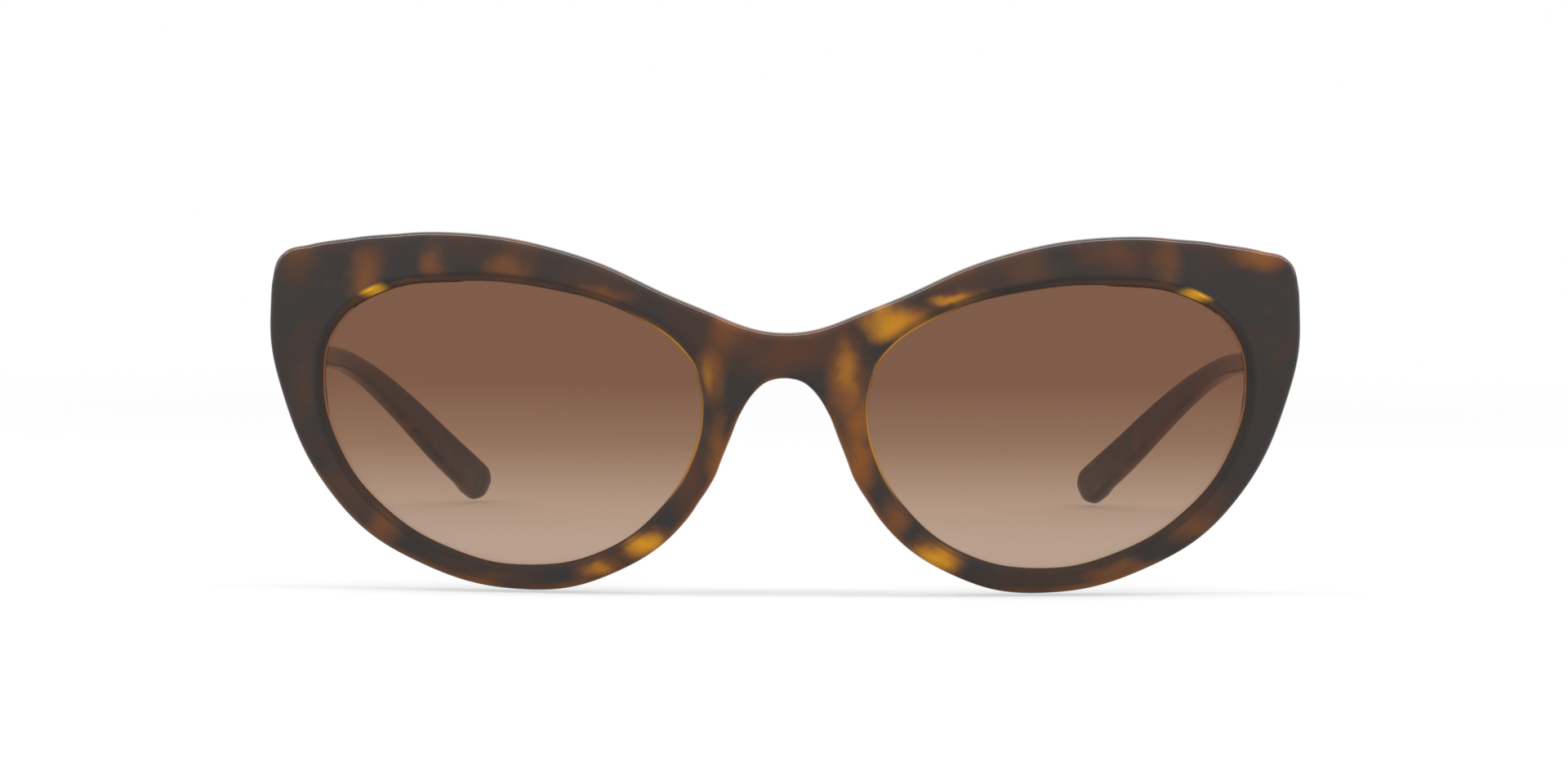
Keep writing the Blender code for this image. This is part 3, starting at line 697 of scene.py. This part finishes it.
# %% A helper that makes one tortoise sheet
NEAR_BLACK = (0.036, 0.030, 0.028, 1)
DARK_BROWN = (0.060, 0.031, 0.021, 1)
RED_BROWN = (0.110, 0.041, 0.019, 1)
AMBER = (0.36, 0.110, 0.008, 1)
WANDER = [("Scale", 170.0), ("Reach", 4.6 * MM)]
CLOUD_SOFTNESS = 0.20
STREAKS_TO_CLOUDS = 1.7
STREAK_MOST = 0.8
POLISH = [("Smooth", 0.025), ("Hazy", 0.07)]
RIPPLE_STRENGTH = 0.015
RIPPLE_DEPTH = 0.05 * MM
ACETATE_IOR = 1.49
ACETATE_GLOSS = 0.26


def tortoise(name, cloud_scale, cloud_start, streak_start, layers=(), beside_lens=False):
    material, tree, shader = new_material(name)
    coordinates = add_node(tree, "ShaderNodeTexCoord").outputs
    place = coordinates["Object"]
    wandering = group_node(tree, chip_warp, [("Vector", place), *WANDER])["Vector"]

    clouds = patchy(tree, wandering, cloud_scale, cloud_start, CLOUD_SOFTNESS)
    colour = mix_colour(tree, clouds, NEAR_BLACK, DARK_BROWN)
    streak_scale = STREAKS_TO_CLOUDS * cloud_scale
    streaks = patchy(tree, wandering, streak_scale, streak_start, CLOUD_SOFTNESS, STREAK_MOST)
    colour = mix_colour(tree, streaks, colour, RED_BROWN)
    for chips, tone in layers:
        colour = mix_colour(tree, strongest_chip(tree, wandering, chips), colour, tone)
    colour = mix_colour(tree, edge_glow(tree, coordinates, wandering), colour, AMBER)
    if beside_lens:
        colour = lens_edge(tree, coordinates, colour)

    polish = group_node(tree, worn_polish, [("Vector", place), *POLISH])
    fill_sockets(tree, shader, [
        ("Base Color", colour),
        ("Roughness", polish["Roughness"]),
        ("Normal", bumped(tree, polish["Height"], RIPPLE_STRENGTH, RIPPLE_DEPTH)),
        ("IOR", ACETATE_IOR),
        ("Specular IOR Level", ACETATE_GLOSS),
    ])
    print(material.name, "has", len(tree.nodes), "nodes")
    return material


print("the polish of a sheet:", POLISH)

# %% [markdown]
# ## The red chips of the front
#
# Under the clear chips lie broad red brown ones. They soften the step from black to amber on the bridge
# and at the sides of the nose, and they give the lower rims their warm patches. They are listed one by
# one, because a pattern that is only random would soon look the same all over.

# %% Place the red chips
RED_CHIPS = [
    (-64.6, 27.0, 3.0, 6.0, 0.4),
    (-58.0, 13.0, 4.5, 4.0, 0.7),
    (-35.4, 46.4, 3.5, 3.0, 0.5),
    (-5.5, 34.6, 4.5, 4.0, 0.8),
    (0.0, 32.0, 7.0, 4.0, 0.95),
    (-25.0, 42.0, 8.0, 4.0, 0.4),
    (25.0, 42.5, 8.0, 4.0, 0.4),
    (-12.8, 15.5, 3.0, 6.5, 0.9),
    (3.5, 33.0, 4.0, 5.0, 0.8),
    (31.0, 44.6, 5.0, 3.0, 0.6),
    (43.8, 45.5, 4.0, 2.6, 1.0),
    (12.5, 17.5, 3.0, 7.0, 0.25),
    (57.0, 11.5, 4.5, 4.0, 0.7),
    (-40.0, 3.5, 10.0, 2.6, 0.4),
    (40.0, 3.2, 9.0, 2.6, 0.3),
]
print("red chips:", len(RED_CHIPS))

# %% [markdown]
# ## The amber and gold chips of the front
#
# On a front the eye goes to the brow, the bridge and the lower inner corners, so these have their own
# lists. On the brow the amber is thin, and beside the nose it is strong; the two chips that run along
# the nose edges are painted light, the glow where light comes through the thin plastic there. A few
# chips have a clear gold heart, which is a smaller chip of its own over the amber one.

# %% Place the amber and gold chips
BROW_CHIPS = [
    (-66.0, 44.2, 3.2, 3.2, 0.16),
    (-56.0, 42.0, 2.6, 4.4, 0.44),
    (-46.9, 43.0, 2.2, 3.8, 0.38),
    (-37.4, 43.2, 4.0, 2.2, 0.40),
    (-24.5, 39.6, 5.0, 1.3, 0.40),
    (33.5, 43.2, 4.6, 2.0, 0.10),
    (50.9, 43.6, 2.4, 4.6, 0.23),
    (63.9, 44.8, 4.0, 2.0, 0.50),
]
BRIDGE_CHIPS_AND_NOSE_GLOW = [
    (-9.8, 29.0, 2.2, 4.6, 0.58),
    (-8.2, 34.6, 2.4, 3.4, 0.30),
    (8.2, 28.0, 2.6, 6.5, 0.72),
    (9.6, 23.2, 2.4, 4.5, 0.85),
    (15.5, 36.4, 5.2, 2.6, 0.80),
    (23.0, 39.2, 5.0, 1.5, 0.60),
    # These two chips are painted light: the amber glow along the nose edges, where light comes through
    # the thin plastic.
    (-9.0, 18.5, 1.8, 5.5, 0.65),
    (9.6, 18.0, 2.2, 6.5, 0.85),
]
LOWER_CHIPS = [
    (-18.2, 6.2, 4.2, 3.0, 0.85),
    (-24.6, 3.0, 3.6, 2.2, 0.75),
    (-40.0, 1.4, 8.0, 1.3, 0.15),
    (-53.8, 8.6, 3.0, 3.0, 0.45),
    (15.0, 10.5, 2.4, 3.4, 0.60),
    (20.0, 5.2, 4.0, 3.4, 0.90),
    (45.0, 3.0, 5.5, 2.0, 0.48),
    (55.0, 9.0, 4.5, 2.4, 0.35),
]
AMBER_CHIPS_AND_NOSE_GLOW = BROW_CHIPS + BRIDGE_CHIPS_AND_NOSE_GLOW + LOWER_CHIPS
GOLD_CHIPS = [
    (14.0, 36.2, 3.8, 2.1, 0.58),
    (22.0, 39.4, 3.6, 0.8, 0.45),
    (-18.2, 6.2, 2.8, 1.9, 0.95),
    (-24.6, 2.8, 2.0, 1.2, 0.40),
    (19.6, 4.6, 3.2, 2.5, 1.00),
    (8.4, 29.5, 1.4, 3.6, 0.24),
    (-10.4, 28.6, 1.0, 2.6, 0.20),
]
print("amber chips:", len(AMBER_CHIPS_AND_NOSE_GLOW), "and gold chips:", len(GOLD_CHIPS))

# %% [markdown]
# ## The finish of the front
#
# The front is the piece that everyone looks at, so it gets all three layers of chips and the edge
# beside the lens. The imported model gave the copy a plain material, which is taken off first.

# %% Finish the front
def dress(piece, material):
    piece.data.materials.clear()
    piece.data.materials.append(material)
    print(piece.name, "wears", material.name)


FRONT_LAYERS = [(RED_CHIPS, RED_BROWN), (AMBER_CHIPS_AND_NOSE_GLOW, AMBER), (GOLD_CHIPS, GOLD)]
front_tortoise = tortoise(
    "front_tortoise_acetate", cloud_scale=95.0, cloud_start=0.49, streak_start=0.62,
    layers=FRONT_LAYERS, beside_lens=True)
dress(front, front_tortoise)

# %% [markdown]
# ## Pads and temples
#
# The pads get strong amber chips, which are partly painted light: they brighten the pads where they sit
# in the front's shade beside the nose. The temples are cut from a second sheet with more reddish
# streaks. They share the helper, so only the chips and the size of the clouds change.

# %% Finish the pads and the temples
# Partly painted light: amber that brightens the pads in the front's shade.
PAD_CHIPS_AND_LIGHT = [
    (-8.0, 20.0, 3.0, 8.0, 0.55),
    (8.0, 20.0, 3.0, 8.0, 0.65),
]
pad_tortoise = tortoise(
    "pad_tortoise_acetate", cloud_scale=150.0, cloud_start=0.38, streak_start=0.50,
    layers=[(PAD_CHIPS_AND_LIGHT, AMBER)])
temple_tortoise = tortoise(
    "temple_tortoise_acetate", cloud_scale=85.0, cloud_start=0.40, streak_start=0.54)
for side in SIDES:
    dress(pads[side], pad_tortoise)
    dress(temples[side], temple_tortoise)

# %% [markdown]
# ## Gradient dye
#
# A gradient lens is dipped in brown dye and drawn out slowly, so the top stays in longest and comes
# out darkest. The tint is a colour ramp over the height of the lens, and it colours the light that
# passes through a clear polished body. The ramp reads the lens's own height, so it follows the lens
# in every view. Each stop is a height in millimetres and a colour.

# %% Dye the lenses
DYE = [
    (6.5, (0.457, 0.325, 0.247)),
    (12.0, (0.415, 0.280, 0.200)),
    (19.5, (0.286, 0.158, 0.094)),
    (28.2, (0.200, 0.090, 0.049)),
]
DYE_LOW, DYE_HIGH = DYE[0][0], DYE[-1][0]
LENS_IOR = 1.35

lens_glass, tree, shader = new_material("brown_gradient_dye")
height = axes(tree, add_node(tree, "ShaderNodeTexCoord").outputs["Object"])["Z"]
level = remapped(tree, height, DYE_LOW * MM, DYE_HIGH * MM)
ramp = add_node(tree, "ShaderNodeValToRGB", [("Fac", level)])
stops = ramp.color_ramp.elements
while len(stops) < len(DYE):
    stops.new(0.5)  # any place will do, because the next lines move it
for stop, (up, colour) in zip(stops, DYE):
    stop.position = (up - DYE_LOW) / (DYE_HIGH - DYE_LOW)
    stop.color = (*colour, 1)
fill_sockets(tree, shader, [
    ("Base Color", ramp.outputs["Color"]),
    ("Transmission Weight", 1.0),
    ("Roughness", 0.0),
    ("IOR", LENS_IOR),
])
for side in SIDES:
    dress(lenses[side], lens_glass)

# %% [markdown]
# ## Nickel silver, steel and wire
#
# The hinges are pressed from nickel silver, the screws are turned from steel, and a drawn wire
# stiffens each temple. Their shapes are already right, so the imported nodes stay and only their
# material changes. A noise that is stretched along one direction stands for the marks of the press,
# the lathe and the drawing die. It changes the colour, the gloss and the height together, as real
# marks do.

# %% A helper for metal with fine marks
MARK_SCALE = 900.0
MARK_DETAIL = 3.0
MARK_START, MARK_FULL = 0.3, 0.7
MARK_STRENGTH = 0.06
MARK_DEPTH = 0.03 * MM


def streaked_metal(name, bright, shadow, stretch, smooth, rough):
    material, tree, shader = new_material(name)
    place = add_node(tree, "ShaderNodeTexCoord").outputs["Object"]
    stretched = add_node(tree, "ShaderNodeMapping", [("Vector", place), ("Scale", stretch)]).outputs[0]
    marks = add_node(tree, "ShaderNodeTexNoise", [
        ("Vector", stretched), ("Scale", MARK_SCALE), ("Detail", MARK_DETAIL),
    ]).outputs["Fac"]
    fill_sockets(tree, shader, [
        ("Base Color", mix_colour(tree, marks, shadow, bright)),
        ("Roughness", remapped(tree, marks, MARK_START, MARK_FULL, low=smooth, high=rough)),
        ("Normal", bumped(tree, marks, MARK_STRENGTH, MARK_DEPTH)),
        ("Metallic", 1.0),
    ])
    return material


print("marks are up to", MARK_DEPTH / MM, "mm deep")

# %% [markdown]
# ## Which metal goes where
#
# The marks of the pressed leaves run upright, those of the screws go round them, and those of the
# wires run along the temple. The stretch of the noise on each axis says so: a small number makes
# long marks on that axis.

# %% Finish the hinges, the screws and the core wires
hinge_metal = streaked_metal(
    "pressed_nickel_silver", bright=(0.70, 0.67, 0.61, 1), shadow=(0.46, 0.43, 0.38, 1),
    stretch=(1, 1, 0.08), smooth=0.20, rough=0.34)
screw_metal = streaked_metal(
    "turned_steel", bright=(0.66, 0.66, 0.67, 1), shadow=(0.36, 0.36, 0.37, 1),
    stretch=(1, 1, 4.0), smooth=0.16, rough=0.30)
core_metal = streaked_metal(
    "drawn_wire", bright=(0.62, 0.60, 0.56, 1), shadow=(0.40, 0.38, 0.35, 1),
    stretch=(1, 0.05, 1), smooth=0.25, rough=0.40)
FINISHES = {"hinge_front_leaf": hinge_metal, "hinge_temple_leaf": hinge_metal,
            "hinge_screw": screw_metal, "temple_core": core_metal}
for side in SIDES:
    for node, material in FINISHES.items():
        for slot in frame["nodes"][f"{node}_{side}"].material_slots:
            slot.material = material
print("metal nodes:", [f"{node}_{side}" for node in FINISHES for side in SIDES])

# %% [markdown]
# ## The white tent
#
# A product picture of sunglasses is taken in a white tent. The world stands for the tent: it is
# white for the eye, for reflections and for what shows through the lenses, and a little lower as a
# lamp. Walls of cloth would do the same, but they would have to move aside for every other view.

# %% Light the world
TENT_LIGHT = 0.95
WHITE = (1, 1, 1, 1)


def seen_directly(tree):
    path = add_node(tree, "ShaderNodeLightPath").outputs
    seen = path["Is Camera Ray"]
    for ray in ("Is Glossy Ray", "Is Transmission Ray"):
        seen = combined(tree, "MAXIMUM", seen, path[ray])
    return seen


world = bpy.data.worlds.new("white_tent")
bpy.context.scene.world = world
world.use_nodes = True
tree = world.node_tree
strength = remapped(tree, seen_directly(tree), 0.0, 1.0, low=TENT_LIGHT)
fill_sockets(tree, tree.nodes["Background"], [("Color", WHITE), ("Strength", strength)])
print("the tent gives", TENT_LIGHT, "as a lamp and 1 to the eye")

# %% [markdown]
# ## The lamps
#
# Polished plastic shows its form by the lamps that it reflects. One long strip above the front
# draws the thin line along the brow, and two weak panels draw the lines on the end pieces. Area
# lamps are used because their reflections have straight, soft borders, as those of softboxes do.

# %% The strip above and the panels at the sides
FRONT_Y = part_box("front_frame")[0].y
AIM_HEIGHT = 0.03
STRIP_HEIGHT = 0.50
STRIP_SIZE = (1.50, 0.10)
STRIP_WATTS = 5.6
PANEL_ACROSS = 0.50
PANEL_BEHIND = 0.16
PANEL_HEIGHT = 0.27
PANEL_AIM_ACROSS = 0.06
PANEL_SIZE = (0.50, 0.30)
PANEL_WATTS = 0.5


def softbox(name, place, aim, size, watts):
    bpy.ops.object.light_add(type="AREA", location=place)
    lamp = bpy.context.object
    lamp.name = name
    lamp.rotation_euler = (Vector(aim) - Vector(place)).to_track_quat("-Z", "Y").to_euler()
    lamp.data.shape = "RECTANGLE"
    lamp.data.size, lamp.data.size_y = size
    lamp.data.energy = watts
    print(name, "gives", watts, "watts")


softbox("brow_strip", (0, FRONT_Y, STRIP_HEIGHT), (0, FRONT_Y, AIM_HEIGHT), STRIP_SIZE, STRIP_WATTS)
for sign, hand in ((-1, "left_hand"), (1, "right_hand")):
    softbox(f"{hand}_panel", (sign * PANEL_ACROSS, FRONT_Y + PANEL_BEHIND, PANEL_HEIGHT),
            (sign * PANEL_AIM_ACROSS, FRONT_Y, AIM_HEIGHT), PANEL_SIZE, PANEL_WATTS)

# %% [markdown]
# ## The floor
#
# The sunglasses stand on a pale sheet. It lies a hair below them, so that it doesn't cut into the
# lowest points.

# %% Lay the floor
FLOOR_SIZE = 6.0
FLOOR_DROP = 0.2 * MM

bpy.ops.object.select_all(action="DESELECT")
bpy.ops.mesh.primitive_plane_add(size=FLOOR_SIZE, location=(0, 0, -FLOOR_DROP))
floor = bpy.context.object
floor.name = "pale_floor"
bpy.ops.object.transform_apply(location=True, rotation=True, scale=True)
print("the floor lies", FLOOR_DROP / MM, "mm under the lowest points")

# %% [markdown]
# ## Paper that fades to white
#
# Under the object the paper is grey enough to hold a shadow, and it glows for the eye until both
# together are white. Further out the grey fades away and the glow alone is white, so no border
# shows between the floor and the tent. More light would make the floor white too, but it would also
# bleach the object.

# %% Finish the floor
NEAR_FLOOR = 0.14
FAR_FLOOR = 0.45
NEAR_PAPER = (0.22, 0.22, 0.22, 1)
FAR_PAPER = (0, 0, 0, 1)
NEAR_GLOW = 0.60
FAR_GLOW = 1.0
PAPER_ROUGHNESS = 0.9

paper, tree, shader = new_material("pale_paper")
place = add_node(tree, "ShaderNodeTexCoord").outputs["Object"]
distance = vector_math(tree, "LENGTH", [(0, place)])["Value"]
away = remapped(tree, distance, NEAR_FLOOR, FAR_FLOOR, interpolation="SMOOTHSTEP")
glow = remapped(tree, away, 0.0, 1.0, low=NEAR_GLOW, high=FAR_GLOW)
fill_sockets(tree, shader, [
    ("Base Color", mix_colour(tree, away, NEAR_PAPER, FAR_PAPER)),
    ("Roughness", PAPER_ROUGHNESS),
    ("Specular IOR Level", 0.0),
    ("Emission Color", WHITE),
    ("Emission Strength", combined(tree, "MULTIPLY", glow, seen_directly(tree))),
])
dress(floor, paper)

# %% [markdown]
# ## The camera
#
# The picture is taken from straight ahead with a long lens, a few degrees above the middle of the
# front, and with the camera turned a hair to one side. The frame is twice as wide as it is high.
# Blender's Track To would keep the camera level, so its three axes are worked out here.

# %% Set up the camera
PHOTO_WIDTH = 1920
FOCAL_PIXELS = 5532
SENSOR_WIDTH = 36.0
CAMERA_DISTANCE = 0.600
CAMERA_TARGET = Vector((-0.0001, -0.0687, 0.02705))
CAMERA_ABOVE = math.radians(3.8)
CAMERA_ROLL = math.radians(0.40)
CLIP_START = 0.01

ahead = Vector((0, math.cos(CAMERA_ABOVE), -math.sin(CAMERA_ABOVE)))
level_right = Vector((1, 0, 0))
level_up = Vector((0, math.sin(CAMERA_ABOVE), math.cos(CAMERA_ABOVE)))
right = level_right * math.cos(CAMERA_ROLL) + level_up * math.sin(CAMERA_ROLL)
up = level_up * math.cos(CAMERA_ROLL) - level_right * math.sin(CAMERA_ROLL)

bpy.ops.object.camera_add()
camera = bpy.context.object
camera.name = "front_camera"
camera.data.sensor_width = SENSOR_WIDTH
camera.data.lens = FOCAL_PIXELS / PHOTO_WIDTH * SENSOR_WIDTH
camera.data.clip_start = CLIP_START
turn = Matrix((right, up, -ahead)).transposed()
camera.matrix_world = Matrix.Translation(CAMERA_TARGET - ahead * CAMERA_DISTANCE) @ turn.to_4x4()
bpy.context.scene.camera = camera
bpy.context.scene.view_settings.view_transform = "Standard"
print("the camera's lens is", round(camera.data.lens, 1), "mm long")
